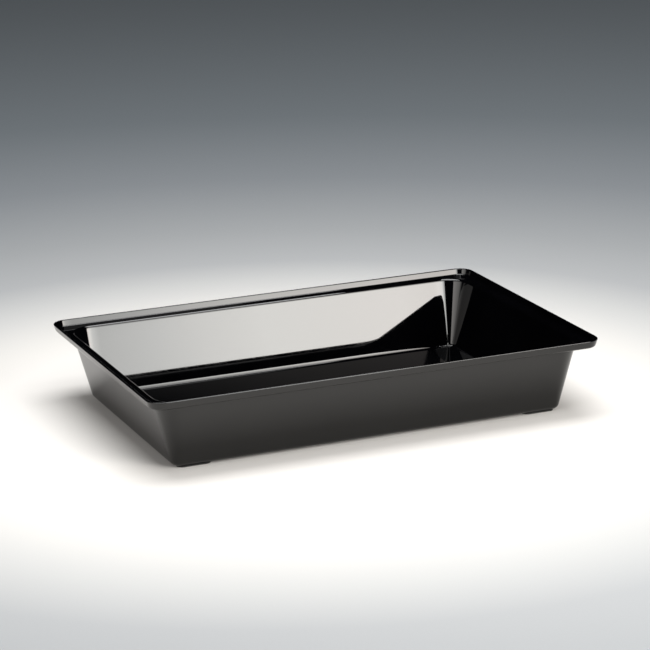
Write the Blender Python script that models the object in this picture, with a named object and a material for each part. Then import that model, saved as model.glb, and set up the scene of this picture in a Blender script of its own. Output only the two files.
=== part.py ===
"""Deli food pan: a moulded display tray with tapered walls and a flanged rim, on four corner pads.

The tray is one closed skin, lofted through rounded rectangles that follow its cross-section from the
middle of the floor, up the inside, over the rim and back down the outside to the middle of the base.
The pads are separate soft mouldings bonded under the corners of the base.
Metres, +Z up. The origin is the middle of the surface that the pads stand on, and +X is the long side.
"""

import math

import bmesh
import bpy
from mathutils import Matrix, Vector

# Overall size.
PAN_LENGTH = 0.4572
PAN_WIDTH = 0.3048
PAN_HEIGHT = 0.0753
SHEET = 0.0024  # thickness of the walls and flange
FLOOR_SHEET = 0.0013

# Tapered walls.
WALL_SLOPE = 0.2640  # plan run for each unit of height, a draft of 14.8 degrees
BASE_INSET = 0.0302  # from the rim's outer edge in to the base's outer edge, in plan
BASE_GAP = 0.0015  # height of the base above the standing surface
WALL_CORNER_CENTRE = 0.0380  # inset of the centres that all the walls' corner arcs share
BASE_ROUNDING = 0.0060

# Foot of the walls inside: they flare out over the last stretch and meet the floor in a tight crease.
FLARE_SLOPE = 0.601  # plan run for each unit of height
FLARE_HEIGHT = 0.0013  # floor up to where the flare would start if it were not rounded
FLARE_ROUNDING = 0.0090
FLOOR_CREASE = 0.0006

# Flange: a flat ledge around the opening and an outward-leaning lip on its outer edge.
LEDGE_DROP = 0.0057  # rim top down to the ledge
LEDGE_ROUNDING = 0.0030  # where the ledge turns down into the wall
LIP_SLOPE = 0.3057  # plan run for each unit of height, a lean of 17 degrees
LIP_ROOT_FILLET = 0.0008
LIP_HEEL_ROUNDING = 0.0030
FLANGE_NECK_FILLET = 0.0008
RIM_CORNER_RADIUS = 0.0148
RIM_INNER_ROUNDING = 0.0007
RIM_OUTER_ROUNDING = 0.0007

# Corner pads.
PAD_LENGTH = 0.033
PAD_WIDTH = 0.020
PAD_CORNER_RADIUS = 0.0054
PAD_LONG_EDGE_INSET = 0.0024  # base's outer edge in to the pad, along the pan's long sides
PAD_SHORT_EDGE_INSET = 0.0050  # the same along its short sides
PAD_CLEARANCE = 0.0003  # between a pad's top and the base
PAD_EDGE_ROUNDING = 0.0002

# Smoothness.
PLAN_ARC_STEPS = 8
SECTION_ARC_STEPS = 4
PAD_ARC_STEPS = 6
SHARP_ANGLE = math.radians(40)


def clear_scene():
    for leftover in list(bpy.data.objects):
        bpy.data.objects.remove(leftover, do_unlink=True)


def plastic(name, colour, roughness):
    material = bpy.data.materials.new(name)
    material.use_nodes = True
    shader = material.node_tree.nodes["Principled BSDF"]
    shader.inputs["Base Color"].default_value = (*colour, 1.0)
    shader.inputs["Roughness"].default_value = roughness
    shader.inputs["Metallic"].default_value = 0.0
    return material


def add_object(name, mesh, material, collection):
    mesh.shade_smooth()
    mesh.set_sharp_from_angle(angle=SHARP_ANGLE)
    mesh.materials.append(material)
    piece = bpy.data.objects.new(name, mesh)
    collection.objects.link(piece)
    return piece


def mesh_from(bm, name):
    bmesh.ops.recalc_face_normals(bm, faces=bm.faces)
    mesh = bpy.data.meshes.new(name)
    bm.to_mesh(mesh)
    bm.free()
    return mesh


def rounded_corner(before, corner, after, radius):
    """Points of the arc that rounds one corner of an outline."""
    back = (before - corner).normalized()
    ahead = (after - corner).normalized()
    half_angle = back.angle(ahead) / 2
    centre = corner + (back + ahead).normalized() * radius / math.sin(half_angle)
    start = corner + back * radius / math.tan(half_angle) - centre
    end = corner + ahead * radius / math.tan(half_angle) - centre
    sweep = -start.angle_signed(end)
    turns = [Matrix.Rotation(sweep * step / SECTION_ARC_STEPS, 2) for step in range(SECTION_ARC_STEPS + 1)]
    return [centre + turn @ start for turn in turns]


def pan_section():
    """Stations of the section as (inset from the rim's edge, height, inset of the plan corners' centres)."""
    floor_top = BASE_GAP + FLOOR_SHEET
    flare_top = floor_top + FLARE_HEIGHT
    ledge_top = PAN_HEIGHT - LEDGE_DROP
    ledge_under = ledge_top - SHEET
    wall_thickness = SHEET * math.hypot(1, WALL_SLOPE)  # measured level, across the slope
    lip_thickness = SHEET * math.hypot(1, LIP_SLOPE)
    rim_loss = RIM_OUTER_ROUNDING * (math.hypot(1, LIP_SLOPE) + LIP_SLOPE - 1)  # plan size lost to rounding

    def wall_outside(height):
        return BASE_INSET - WALL_SLOPE * (height - BASE_GAP)

    def wall_inside(height):
        return wall_outside(height) + wall_thickness

    def lip_outside(height):
        return LIP_SLOPE * (PAN_HEIGHT - height) - rim_loss

    wall = WALL_CORNER_CENTRE
    rim = RIM_CORNER_RADIUS
    corners = [
        (wall_inside(flare_top) + FLARE_SLOPE * FLARE_HEIGHT, floor_top, FLOOR_CREASE, wall),
        (wall_inside(flare_top), flare_top, FLARE_ROUNDING, wall),
        (wall_inside(ledge_top), ledge_top, LEDGE_ROUNDING, wall),
        (lip_outside(ledge_top) + lip_thickness, ledge_top, LIP_ROOT_FILLET, rim),
        (lip_outside(PAN_HEIGHT) + lip_thickness, PAN_HEIGHT, RIM_INNER_ROUNDING, rim),
        (lip_outside(PAN_HEIGHT), PAN_HEIGHT, RIM_OUTER_ROUNDING, rim),
        (lip_outside(ledge_under), ledge_under, LIP_HEEL_ROUNDING, rim),
        (wall_outside(ledge_under), ledge_under, FLANGE_NECK_FILLET, wall),
        (BASE_INSET, BASE_GAP, BASE_ROUNDING, wall),
    ]
    middle = PAN_WIDTH / 2
    outline = [Vector((middle, floor_top))]
    outline += [Vector((inset, height)) for inset, height, _, _ in corners]
    outline += [Vector((middle, BASE_GAP))]
    stations = []
    for index, (_, _, radius, centre_inset) in enumerate(corners):
        arc = rounded_corner(*outline[index : index + 3], radius)
        stations += [(point.x, point.y, centre_inset) for point in arc]
    return stations


def rounded_rectangle(inset, height, centre_inset):
    """Points of one plan ring of the pan, anticlockwise."""
    radius = centre_inset - inset
    centre_x = PAN_LENGTH / 2 - centre_inset
    centre_y = PAN_WIDTH / 2 - centre_inset
    signs = [(1, 1), (-1, 1), (-1, -1), (1, -1)]
    points = []
    for quarter, (sign_x, sign_y) in enumerate(signs):
        for step in range(PLAN_ARC_STEPS + 1):
            angle = math.pi / 2 * (quarter + step / PLAN_ARC_STEPS)
            x = sign_x * centre_x + radius * math.cos(angle)
            y = sign_y * centre_y + radius * math.sin(angle)
            points.append((x, y, height))
    return points


def build_pan_body(material, collection):
    bm = bmesh.new()
    rings = []
    for station in pan_section():
        rings.append([bm.verts.new(point) for point in rounded_rectangle(*station)])
    for ring, next_ring in zip(rings, rings[1:]):
        for index in range(len(ring)):
            following = (index + 1) % len(ring)
            bm.faces.new((ring[index], ring[following], next_ring[following], next_ring[index]))
    bm.faces.new(rings[0])
    bm.faces.new(rings[-1])
    return add_object("pan_body", mesh_from(bm, "pan_body"), material, collection)


def pad_mesh():
    """An oblong pad with its top at the origin: a box with its upright and then its lower edges rounded."""
    thickness = BASE_GAP - PAD_CLEARANCE
    bm = bmesh.new()
    size = Matrix.Diagonal((PAD_LENGTH, PAD_WIDTH, thickness, 1))
    bmesh.ops.create_cube(bm, size=1.0, matrix=Matrix.Translation((0, 0, -thickness / 2)) @ size)
    upright = [edge for edge in bm.edges if edge.verts[0].co.xy == edge.verts[1].co.xy]
    bmesh.ops.bevel(
        bm, geom=upright, offset=PAD_CORNER_RADIUS, segments=PAD_ARC_STEPS, profile=0.5, affect="EDGES"
    )
    lower = [edge for edge in bm.edges if max(vert.co.z for vert in edge.verts) < -thickness / 2]
    bmesh.ops.bevel(bm, geom=lower, offset=PAD_EDGE_ROUNDING, segments=1, affect="EDGES")
    return mesh_from(bm, "corner_pad")


def build_feet(material, collection):
    centre_x = PAN_LENGTH / 2 - BASE_INSET - PAD_SHORT_EDGE_INSET - PAD_LENGTH / 2
    centre_y = PAN_WIDTH / 2 - BASE_INSET - PAD_LONG_EDGE_INSET - PAD_WIDTH / 2
    sides_y = {"front": -centre_y, "rear": centre_y}
    sides_x = {"left": -centre_x, "right": centre_x}
    for depth_name, y in sides_y.items():
        for side_name, x in sides_x.items():
            foot = add_object(f"foot_{depth_name}_{side_name}", pad_mesh(), material, collection)
            foot.location = (x, y, BASE_GAP - PAD_CLEARANCE)


def main():
    clear_scene()
    collection = bpy.data.collections.new("deli_food_pan")
    bpy.context.scene.collection.children.link(collection)
    pan_plastic = plastic("pan_plastic", (0.012, 0.012, 0.013), 0.12)
    foot_rubber = plastic("foot_rubber", (0.020, 0.020, 0.020), 0.75)
    build_pan_body(pan_plastic, collection)
    build_feet(foot_rubber, collection)


main()
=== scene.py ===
"""Looks for the deli food pan: a black plastic moulding, polished inside, satin outside, on four pads."""

import math
from collections import namedtuple

import bmesh
import bpy
from mathutils import Matrix, Vector


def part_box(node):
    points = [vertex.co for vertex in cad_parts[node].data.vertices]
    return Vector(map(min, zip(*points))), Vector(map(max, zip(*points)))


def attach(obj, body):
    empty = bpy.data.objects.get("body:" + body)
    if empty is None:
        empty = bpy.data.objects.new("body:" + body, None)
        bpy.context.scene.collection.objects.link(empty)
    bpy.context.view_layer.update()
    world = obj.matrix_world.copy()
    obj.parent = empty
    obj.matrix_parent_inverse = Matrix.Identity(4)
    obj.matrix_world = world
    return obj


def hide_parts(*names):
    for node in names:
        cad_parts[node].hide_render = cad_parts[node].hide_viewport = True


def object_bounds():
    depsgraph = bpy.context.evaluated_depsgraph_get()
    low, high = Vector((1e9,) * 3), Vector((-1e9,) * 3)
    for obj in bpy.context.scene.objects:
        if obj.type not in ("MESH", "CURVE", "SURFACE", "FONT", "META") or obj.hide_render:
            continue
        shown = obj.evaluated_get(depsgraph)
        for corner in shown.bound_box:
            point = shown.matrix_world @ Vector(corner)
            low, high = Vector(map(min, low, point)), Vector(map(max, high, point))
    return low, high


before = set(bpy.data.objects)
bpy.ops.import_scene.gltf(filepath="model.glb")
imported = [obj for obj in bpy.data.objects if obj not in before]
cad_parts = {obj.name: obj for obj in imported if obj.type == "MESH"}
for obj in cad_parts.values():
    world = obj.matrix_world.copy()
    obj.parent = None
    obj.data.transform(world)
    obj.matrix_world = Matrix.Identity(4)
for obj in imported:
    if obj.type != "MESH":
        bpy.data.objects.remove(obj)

CAD_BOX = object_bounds()
PAN_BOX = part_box("pan_body")
FEET = ["foot_front_left", "foot_front_right", "foot_rear_left", "foot_rear_right"]

# The pan's section, in metres. Its length, width and heights come from the frame.
PAN_LENGTH = PAN_BOX[1][0] - PAN_BOX[0][0]
PAN_WIDTH = PAN_BOX[1][1] - PAN_BOX[0][1]
RIM_HEIGHT = PAN_BOX[1][2]
BASE_HEIGHT = PAN_BOX[0][2]
SHEET = 0.0024  # thickness of the walls and flange
FLOOR_SHEET = 0.0013
WALL_SLOPE = 0.2640  # plan run for each unit of height
BASE_INSET = 0.0302  # from the rim's outer edge in to the base's outer edge, in plan
BASE_ROUNDING = 0.0060
FLARE_SLOPE = 0.601  # plan run for each unit of height, at the flared foot of the inner walls
FLARE_HEIGHT = 0.0013
FLARE_ROUNDING = 0.0090
FLOOR_CREASE = 0.0006
LEDGE_DROP = 0.0057  # rim top down to the ledge
LEDGE_ROUNDING = 0.0030
LIP_SLOPE = 0.3057  # plan run for each unit of height
LIP_ROOT_FILLET = 0.0008
LIP_HEEL_ROUNDING = 0.0030
FLANGE_NECK_FILLET = 0.0008
RIM_INNER_ROUNDING = 0.0007
RIM_OUTER_ROUNDING = 0.0007

# Corners in plan. A wall bows in gently over its last stretch, before the corner arc.
WALL_CORNER_CENTRE = 0.0380  # inset of the centres that all the walls' corners share
RIM_CORNER_RADIUS = 0.0148
CORNER_EASE = 0.0080  # length of that stretch
CORNER_EASE_ANGLE = math.radians(2.4)  # turned by the end of it

# Mesh fineness.
PLAN_ARC_STEPS = 24
PLAN_EASE_STEPS = 6
SECTION_ARC_STEPS = 8
SUPPORT = 0.0003  # width of the strips that keep flat faces flat beside an arc

# Finish along the section, whose corners are counted from the floor out over the rim to the base.
POLISHED_CORNERS = 6  # the first six, up to the rim's outer edge
WORN_CORNERS = (2, 4, 5, 6, 8)  # ledge, rim, heel and base, which hands, lids and shelves rub
POLISHED_SLOT = 0
SATIN_SLOT = 1

# The studio floor's colour by distance in metres from a point near the pan's middle. It is painted light: a
# pool of light around the pan, brighter and warmer there, fading to a darker, cooler grey far away.
FLOOR_REACH = 8.0  # from its middle to each edge
FLOOR_PAINTED_LIGHT_CENTRE = (-0.03, 0, 0)
FLOOR_PAINTED_LIGHT_END = 1.4
# Painted pool of light: the floor's shades from near the pan out to far away.
FLOOR_PAINTED_LIGHT_SHADES = [
    (0.00, (0.59, 0.575, 0.555)),
    (0.30, (0.59, 0.575, 0.555)),
    (0.35, (0.53, 0.52, 0.50)),
    (0.45, (0.41, 0.41, 0.405)),
    (0.57, (0.28, 0.288, 0.295)),
    (0.72, (0.236, 0.246, 0.254)),
    (1.00, (0.174, 0.188, 0.202)),
    (1.40, (0.136, 0.154, 0.168)),
]

# Light.
EVEN = ((0, 1), (1, 1))  # a softbox ramp that leaves the radiance as it is
STUDIO_FILL = (0.3, 0.3, 0.3, 1)  # colour that lights every surface from all around

# Camera, with its place in metres and its lens and sensor in millimetres.
AZIMUTH = math.radians(-22.285)
ELEVATION = math.radians(16.03)
ROLL = math.radians(-1.31)
CAMERA_PLACE = Vector((-0.9871, -2.4188, 0.8312))
FOCAL_LENGTH = 154.7
SENSOR = 36.0

# Places of a Mix node's colour sockets, since other sockets of the node have the same names.
MIX_INPUT_A = 6
MIX_INPUT_B = 7
MIX_OUTPUT = 2

Station = namedtuple("Station", "inset height corner_centre polished worn")


def link_object(name, data):
    piece = bpy.data.objects.new(name, data)
    bpy.context.scene.collection.objects.link(piece)
    return piece


def mesh_from(bm, name):
    mesh = bpy.data.meshes.new(name)
    bm.to_mesh(mesh)
    bm.free()
    return mesh


# ---------------------------------------------------------------- camera

def make_camera():
    data = bpy.data.cameras.new("camera")
    data.lens = FOCAL_LENGTH
    data.sensor_width = SENSOR
    camera = link_object("camera", data)
    turn = Matrix.Rotation(AZIMUTH, 4, "Z") @ Matrix.Rotation(math.pi / 2 - ELEVATION, 4, "X")
    camera.matrix_world = Matrix.Translation(CAMERA_PLACE) @ turn @ Matrix.Rotation(ROLL, 4, "Z")
    bpy.context.scene.camera = camera


# ---------------------------------------------------------------- pan mesh

def rounded_corner(before, corner, after, radius):
    """Points of the arc that rounds a corner of an outline, with a support point beside each end."""
    back = (before - corner).normalized()
    ahead = (after - corner).normalized()
    half_angle = back.angle(ahead) / 2
    centre = corner + (back + ahead).normalized() * radius / math.sin(half_angle)
    start = corner + back * radius / math.tan(half_angle) - centre
    end = corner + ahead * radius / math.tan(half_angle) - centre
    sweep = -start.angle_signed(end)
    arc = []
    for step in range(SECTION_ARC_STEPS + 1):
        arc.append(centre + Matrix.Rotation(sweep * step / SECTION_ARC_STEPS, 2) @ start)
    support_before = arc[0] + back * SUPPORT
    support_after = arc[-1] + ahead * SUPPORT
    return [support_before, *arc, support_after]


def section_corners():
    """The section's corners before they are rounded.

    Each is (inset from the rim's edge, height, rounding radius, inset of the plan corners' centres).
    """
    floor_top = BASE_HEIGHT + FLOOR_SHEET
    flare_top = floor_top + FLARE_HEIGHT
    ledge_top = RIM_HEIGHT - LEDGE_DROP
    ledge_under = ledge_top - SHEET
    wall_thickness = SHEET * math.hypot(1, WALL_SLOPE)  # measured level, across the slope
    lip_thickness = SHEET * math.hypot(1, LIP_SLOPE)
    rim_loss = RIM_OUTER_ROUNDING * (math.hypot(1, LIP_SLOPE) + LIP_SLOPE - 1)  # plan size lost to rounding

    def wall_outside(height):
        return BASE_INSET - WALL_SLOPE * (height - BASE_HEIGHT)

    def wall_inside(height):
        return wall_outside(height) + wall_thickness

    def lip_outside(height):
        return LIP_SLOPE * (RIM_HEIGHT - height) - rim_loss

    wall = WALL_CORNER_CENTRE
    rim = RIM_CORNER_RADIUS
    return [
        (wall_inside(flare_top) + FLARE_SLOPE * FLARE_HEIGHT, floor_top, FLOOR_CREASE, wall),
        (wall_inside(flare_top), flare_top, FLARE_ROUNDING, wall),
        (wall_inside(ledge_top), ledge_top, LEDGE_ROUNDING, wall),
        (lip_outside(ledge_top) + lip_thickness, ledge_top, LIP_ROOT_FILLET, rim),
        (lip_outside(RIM_HEIGHT) + lip_thickness, RIM_HEIGHT, RIM_INNER_ROUNDING, rim),
        (lip_outside(RIM_HEIGHT), RIM_HEIGHT, RIM_OUTER_ROUNDING, rim),
        (lip_outside(ledge_under), ledge_under, LIP_HEEL_ROUNDING, rim),
        (wall_outside(ledge_under), ledge_under, FLANGE_NECK_FILLET, wall),
        (BASE_INSET, BASE_HEIGHT, BASE_ROUNDING, wall),
    ]


def pan_section():
    """Stations of the rounded section, from the floor up the inside, over the rim and down the outside."""
    corners = section_corners()
    middle = PAN_WIDTH / 2
    outline = [Vector((middle, corners[0][1]))]
    outline += [Vector((inset, height)) for inset, height, _, _ in corners]
    outline += [Vector((middle, corners[-1][1]))]
    stations = []
    for index, (_, _, rounding, corner_centre) in enumerate(corners):
        polished = index < POLISHED_CORNERS
        worn = index in WORN_CORNERS
        for point in rounded_corner(*outline[index : index + 3], rounding):
            stations.append(Station(point.x, point.y, corner_centre, polished, worn))
    return stations


def corner_curve(reach):
    """Points of a wall's quarter turn about the origin, from +X to +Y.

    It is an arc between two gently bowed stretches. The walls it joins lie at the reach from the origin.
    """
    bow = math.tan(CORNER_EASE_ANGLE) * CORNER_EASE / 2
    radius = (reach - bow) / math.cos(CORNER_EASE_ANGLE)
    arc_start = radius * math.sin(CORNER_EASE_ANGLE)
    stretch = [Vector((reach, arc_start - CORNER_EASE - SUPPORT, 0))]
    for step in range(PLAN_EASE_STEPS):
        along = step / PLAN_EASE_STEPS
        stretch.append(Vector((reach - bow * along**2, arc_start - CORNER_EASE * (1 - along), 0)))
    arc = []
    for step in range(PLAN_ARC_STEPS + 1):
        share = step / PLAN_ARC_STEPS
        angle = CORNER_EASE_ANGLE + share * (math.pi / 2 - 2 * CORNER_EASE_ANGLE)
        arc.append(Vector((radius * math.cos(angle), radius * math.sin(angle), 0)))
    mirrored = [Vector((point.y, point.x, 0)) for point in reversed(stretch)]
    return [*stretch, *arc, *mirrored]


def plan_ring(station):
    """Points of the pan's rounded rectangle at one station, anticlockwise."""
    centre_x = PAN_LENGTH / 2 - station.corner_centre
    centre_y = PAN_WIDTH / 2 - station.corner_centre
    points = []
    for quarter, (sign_x, sign_y) in enumerate([(1, 1), (-1, 1), (-1, -1), (1, -1)]):
        centre = Vector((sign_x * centre_x, sign_y * centre_y, station.height))
        turn = Matrix.Rotation(math.pi / 2 * quarter, 3, "Z")
        points += [centre + turn @ point for point in corner_curve(station.corner_centre - station.inset)]
    return points


def pan_mesh():
    """One closed skin over the stations. Material slots hold its finish and a vertex layer its wear."""
    bm = bmesh.new()
    wear = bm.verts.layers.float.new("wear")
    stations = pan_section()
    rings = []
    for station in stations:
        ring = [bm.verts.new(point) for point in plan_ring(station)]
        for vert in ring:
            vert[wear] = float(station.worn)
        rings.append(ring)
    for index in range(len(rings) - 1):
        ring, next_ring = rings[index], rings[index + 1]
        polished = stations[index].polished and stations[index + 1].polished
        for place in range(len(ring)):
            following = (place + 1) % len(ring)
            face = bm.faces.new((ring[place], ring[following], next_ring[following], next_ring[place]))
            face.material_index = POLISHED_SLOT if polished else SATIN_SLOT
    bm.faces.new(rings[0]).material_index = POLISHED_SLOT
    bm.faces.new(rings[-1]).material_index = SATIN_SLOT
    bmesh.ops.recalc_face_normals(bm, faces=bm.faces)
    return mesh_from(bm, "pan_shell")


def build_pan():
    mesh = pan_mesh()
    mesh.shade_smooth()
    mesh.materials.append(polished_plastic())
    mesh.materials.append(satin_plastic())
    pan = link_object("pan_shell", mesh)
    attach(pan, "root")
    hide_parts("pan_body")


def dress_feet():
    """The pads keep their CAD meshes and take the rubber."""
    rubber = pad_rubber()
    for name in FEET:
        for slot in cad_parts[name].material_slots:
            slot.material = rubber


# ---------------------------------------------------------------- shader helpers

def new_material(name):
    material = bpy.data.materials.new(name)
    material.use_nodes = True
    return material


def add(tree, kind, inputs, **settings):
    """A new node. An input's value is a number, a vector, or another node's output to link."""
    node = tree.nodes.new(kind)
    for name, value in settings.items():
        setattr(node, name, value)
    for name, value in inputs.items():
        if isinstance(value, bpy.types.NodeSocket):
            tree.links.new(value, node.inputs[name])
        else:
            node.inputs[name].default_value = value
    return node


def object_place(tree, stretch=(1, 1, 1), turn=(0, 0, 0)):
    """The surface's place in metres, stretched and turned so that a texture can be drawn out one way."""
    place = add(tree, "ShaderNodeTexCoord", {}).outputs["Object"]
    inputs = {"Vector": place, "Scale": stretch, "Rotation": turn}
    return add(tree, "ShaderNodeMapping", inputs).outputs["Vector"]


def noise(tree, place, scale, detail):
    return add(tree, "ShaderNodeTexNoise", {"Vector": place, "Scale": scale, "Detail": detail}).outputs["Fac"]


def spread(tree, value, start=0, end=1, low=0, high=1):
    """The value's range from start to end, stretched to run from low to high and held there outside it."""
    inputs = {"Value": value, "From Min": start, "From Max": end, "To Min": low, "To Max": high}
    return add(tree, "ShaderNodeMapRange", inputs).outputs["Result"]


def combine(tree, operation, first, second):
    return add(tree, "ShaderNodeMath", {0: first, 1: second}, operation=operation).outputs["Value"]


def combine_share(tree, operation, value, share, amount):
    """The value with an amount added or subtracted, in full where the share is 1."""
    return combine(tree, operation, value, combine(tree, "MULTIPLY", share, amount))


def blend_colours(tree, share, first, second):
    inputs = {"Factor": share, MIX_INPUT_A: (*first, 1), MIX_INPUT_B: (*second, 1)}
    return add(tree, "ShaderNodeMix", inputs, data_type="RGBA").outputs[MIX_OUTPUT]


def bump(tree, height, depth, below=None):
    """Relief of a given depth in metres, laid over another relief's normal where one is given."""
    inputs = {"Height": height, "Distance": depth, "Strength": 1.0}
    if below:
        inputs["Normal"] = below
    return add(tree, "ShaderNodeBump", inputs).outputs["Normal"]


def ramp(tree, position, stops):
    """A colour ramp, straight between stops given as (position, grey value or colour)."""
    node = add(tree, "ShaderNodeValToRGB", {"Fac": position})
    elements = node.color_ramp.elements
    elements[0].position = stops[0][0]
    elements[1].position = stops[-1][0]
    for place, _ in stops[1:-1]:
        elements.new(place)
    for element, (_, value) in zip(elements, stops):
        colour = value if isinstance(value, tuple) else (value, value, value)
        element.color = (*colour, 1)
    return node.outputs["Color"]


def hairlines(tree, turn):
    """Sparse fine scratches, all in one direction: the peaks of a noise drawn out along one axis."""
    drawn_out = object_place(tree, stretch=(1, 0.012, 1), turn=(0, 0, turn))
    return spread(tree, noise(tree, drawn_out, scale=1500, detail=2), start=0.68, end=0.74)


def edge_wear(tree):
    """Worn patches along the edges that the mesh marks as rubbed."""
    marked = add(tree, "ShaderNodeAttribute", {}, attribute_name="wear").outputs["Fac"]
    patches = spread(tree, noise(tree, object_place(tree), scale=90, detail=5), start=0.45, end=0.65)
    return combine(tree, "MULTIPLY", marked, patches)


def finish_shader(tree, colour, roughness, normal):
    shader = tree.nodes["Principled BSDF"]
    tree.links.new(colour, shader.inputs["Base Color"])
    tree.links.new(roughness, shader.inputs["Roughness"])
    tree.links.new(normal, shader.inputs["Normal"])
    return shader


# ---------------------------------------------------------------- materials

def polished_plastic():
    """Black plastic with a mirror polish: slow waviness, a faint haze and a few hairline scratches."""
    material = new_material("pan_gloss")
    tree = material.node_tree
    place = object_place(tree)
    haze = spread(tree, noise(tree, place, scale=16, detail=4), start=0.35, end=0.65)
    scratches = combine(tree, "MAXIMUM", hairlines(tree, turn=0.3), hairlines(tree, turn=1.9))
    roughness = spread(tree, haze, low=0.012, high=0.026)
    roughness = combine_share(tree, "ADD", roughness, scratches, 0.03)
    roughness = combine_share(tree, "ADD", roughness, edge_wear(tree), 0.05)
    colour = blend_colours(tree, haze, (0.0004, 0.0004, 0.0006), (0.0008, 0.0008, 0.0011))
    waves = bump(tree, noise(tree, place, scale=22, detail=1), depth=8e-6)
    finish_shader(tree, colour, roughness, bump(tree, scratches, depth=-4e-7, below=waves))
    return material


def satin_plastic():
    """The same plastic as it leaves the mould: a fine even grain, slightly shinier along rubbed edges."""
    material = new_material("pan_satin")
    tree = material.node_tree
    place = object_place(tree)
    cloud = spread(tree, noise(tree, place, scale=28, detail=4), start=0.3, end=0.7)
    grain = noise(tree, place, scale=1300, detail=3)
    grain_share = spread(tree, grain, start=0.3, end=0.7, low=-0.02, high=0.02)
    roughness = combine(tree, "ADD", spread(tree, cloud, low=0.075, high=0.10), grain_share)
    roughness = combine_share(tree, "SUBTRACT", roughness, edge_wear(tree), 0.03)
    colour = blend_colours(tree, cloud, (0.0007, 0.0007, 0.0006), (0.0014, 0.0014, 0.0012))
    waves = bump(tree, noise(tree, place, scale=30, detail=2), depth=1e-5)
    finish_shader(tree, colour, roughness, bump(tree, grain, depth=2e-6, below=waves))
    return material


def pad_rubber():
    """Matte black rubber with a coarse grain and a little dust."""
    material = new_material("foot_rubber")
    tree = material.node_tree
    place = object_place(tree)
    dust = spread(tree, noise(tree, place, scale=140, detail=5), start=0.45, end=0.7)
    grain = noise(tree, place, scale=2600, detail=3)
    colour = blend_colours(tree, dust, (0.002, 0.002, 0.002), (0.006, 0.006, 0.005))
    roughness = spread(tree, dust, low=0.6, high=0.85)
    finish_shader(tree, colour, roughness, bump(tree, grain, depth=3e-5))
    return material


def floor_with_painted_light():
    """A pale studio surface with a painted pool of light: warm white around the object, falling off to a cool
    grey far away.
    """
    material = new_material("floor_with_painted_light")
    tree = material.node_tree
    place = object_place(tree)
    inputs = {0: place, 1: FLOOR_PAINTED_LIGHT_CENTRE}
    distance = add(tree, "ShaderNodeVectorMath", inputs, operation="DISTANCE").outputs["Value"]
    # Painted light: the colour ramp by distance paints the lamps' pool of light and its falloff onto the
    # floor.
    painted_light_stops = [(radius / FLOOR_PAINTED_LIGHT_END, shade) for radius, shade in FLOOR_PAINTED_LIGHT_SHADES]
    colour = ramp(tree, spread(tree, distance, end=FLOOR_PAINTED_LIGHT_END), painted_light_stops)
    fibres = noise(tree, place, scale=400, detail=4)
    roughness = spread(tree, fibres, start=0.3, end=0.7, low=0.75, high=0.9)
    shader = finish_shader(tree, colour, roughness, bump(tree, fibres, depth=2e-5))
    shader.inputs["Specular IOR Level"].default_value = 0.1
    return material


# ---------------------------------------------------------------- stage

def make_floor():
    bm = bmesh.new()
    bmesh.ops.create_grid(bm, x_segments=1, y_segments=1, size=FLOOR_REACH)
    mesh = mesh_from(bm, "studio_floor")
    mesh.materials.append(floor_with_painted_light())
    floor = link_object("studio_floor", mesh)
    floor.location.z = CAD_BOX[0][2]


def softbox(name, place, target, width, height, radiance, across=EVEN, upward=EVEN):
    """A rectangular light that faces a target, with its radiance given as seen in a reflection.

    Two ramps scale the radiance. One goes across its width, left to right looking the way it shines, and
    the other goes up its height.
    """
    data = bpy.data.lights.new(name, "AREA")
    data.shape = "RECTANGLE"
    data.size = width
    data.size_y = height
    data.energy = radiance * math.pi * width * height
    data.use_nodes = True
    tree = data.node_tree
    face_place = add(tree, "ShaderNodeNewGeometry", {}).outputs["Parametric"]
    parts = add(tree, "ShaderNodeSeparateXYZ", {"Vector": face_place}).outputs
    emission = tree.nodes["Emission"]
    tree.links.new(ramp(tree, parts["X"], across), emission.inputs["Color"])
    tree.links.new(ramp(tree, parts["Y"], upward), emission.inputs["Strength"])
    light = link_object(name, data)
    light.location = place
    light.rotation_euler = (Vector(target) - Vector(place)).to_track_quat("-Z", "Y").to_euler()


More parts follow.
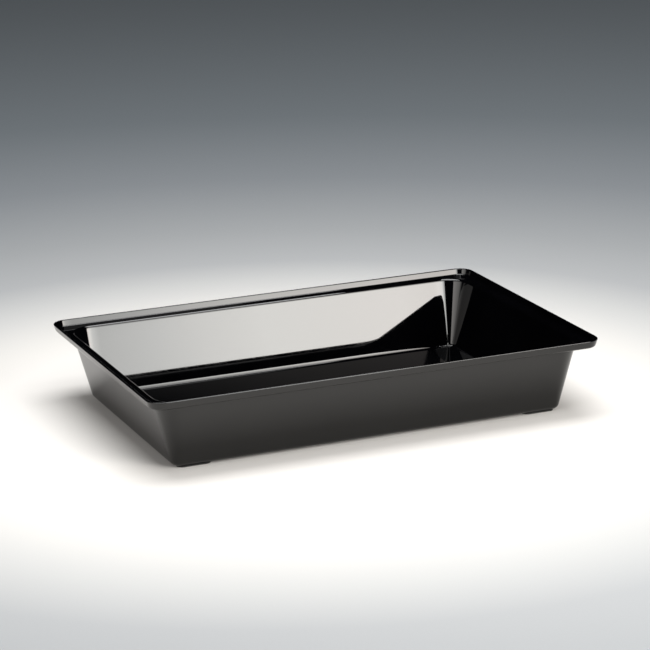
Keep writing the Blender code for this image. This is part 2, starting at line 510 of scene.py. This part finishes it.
def make_front_softbox():
    """The large light that the polished back wall mirrors: warm, brightest low down, dimmer to the left."""
    softbox(
        "front_softbox",
        place=(0.5785, -1.3852, 0.905),
        target=(0.1715, -0.4712, 0.905),
        width=0.95,
        height=1.61,
        radiance=17.0,
        across=(
            (0, (0.42, 0.42, 0.41)),
            (0.284, (0.75, 0.75, 0.73)),
            (0.379, (0.88, 0.87, 0.84)),
            (0.484, (0.98, 0.965, 0.925)),
            (0.716, (1.03, 0.99, 0.945)),
            (1, (0.80, 0.74, 0.70)),
        ),
        upward=((0, 1), (0.20, 1), (0.29, 0.70), (0.40, 0.62), (0.86, 0.12), (1, 0)),
    )


def make_top_softbox():
    """The light overhead. Its height runs front to rear: a fill strip, a dim gap, bright over the pan."""
    softbox(
        "top_softbox",
        place=(0.0, -0.4, 1.85),
        target=(0.0, -0.4, 0),
        width=1.6,
        height=2.2,
        radiance=13.0,
        upward=(
            (0, 0.08),
            (0.12, 0.08),
            (0.16, 0.34),
            (0.36, 0.34),
            (0.42, 0.12),
            (0.5, 0.14),
            (0.56, 0.68),
            (1, 0.68),
        ),
    )


def make_left_softbox():
    """A long low light at the left, dark at its rear end. The rear right corner mirrors it as a strip."""
    softbox(
        "left_softbox",
        place=(-1.3, 0.025, 0.425),
        target=(0, 0.025, 0.425),
        width=2.30,
        height=0.65,
        radiance=4.1,
        across=(
            (0, 0.002),
            (0.33, 0.004),
            (0.42, (0.22, 0.215, 0.21)),
            (0.48, (0.48, 0.465, 0.45)),
            (0.667, (0.725, 0.70, 0.675)),
            (1, (1.03, 0.985, 0.95)),
        ),
    )


def make_studio_fill():
    world = bpy.data.worlds.new("studio")
    bpy.context.scene.world = world
    world.use_nodes = True
    world.node_tree.nodes["Background"].inputs["Color"].default_value = STUDIO_FILL
    world.cycles_visibility.glossy = False  # reflections show the softboxes in a dark studio


make_camera()
build_pan()
dress_feet()
make_floor()
make_front_softbox()
make_top_softbox()
make_left_softbox()
make_studio_fill()
bpy.context.scene.view_settings.view_transform = "Standard"
